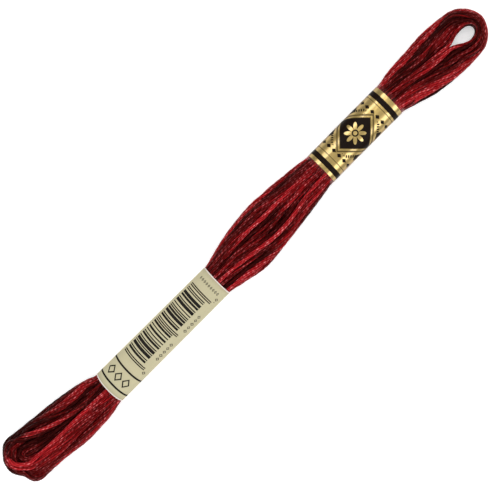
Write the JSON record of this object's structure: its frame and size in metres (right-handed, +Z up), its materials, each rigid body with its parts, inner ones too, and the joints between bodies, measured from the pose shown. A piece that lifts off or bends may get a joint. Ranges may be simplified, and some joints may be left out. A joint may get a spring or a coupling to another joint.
{
  "type": "skein of embroidery floss",
  "caption": "A long flat wound skein of variegated red cotton embroidery floss, drawn through a cream paper band and a gold film band, with an open eye at one end.",
  "frame": {"origin": "On the surface that the skein lies on, under the middle of its length and width", "axes": "+X along the skein towards the loop with the open eye, +Y across it, +Z up"},
  "size_m": [0.1702, 0.0161, 0.0056],
  "materials": {
    "floss": "mercerised cotton, dyed from dark garnet to bright red along its length",
    "paper": "cream coated paper with plain black print",
    "gold_film": "clear film printed in metallic gold and black"
  },
  "bodies": {
    "root": {"floss_hank": "floss", "paper_band": "paper", "gold_band": "gold_film"}
  },
  "joints": []
}
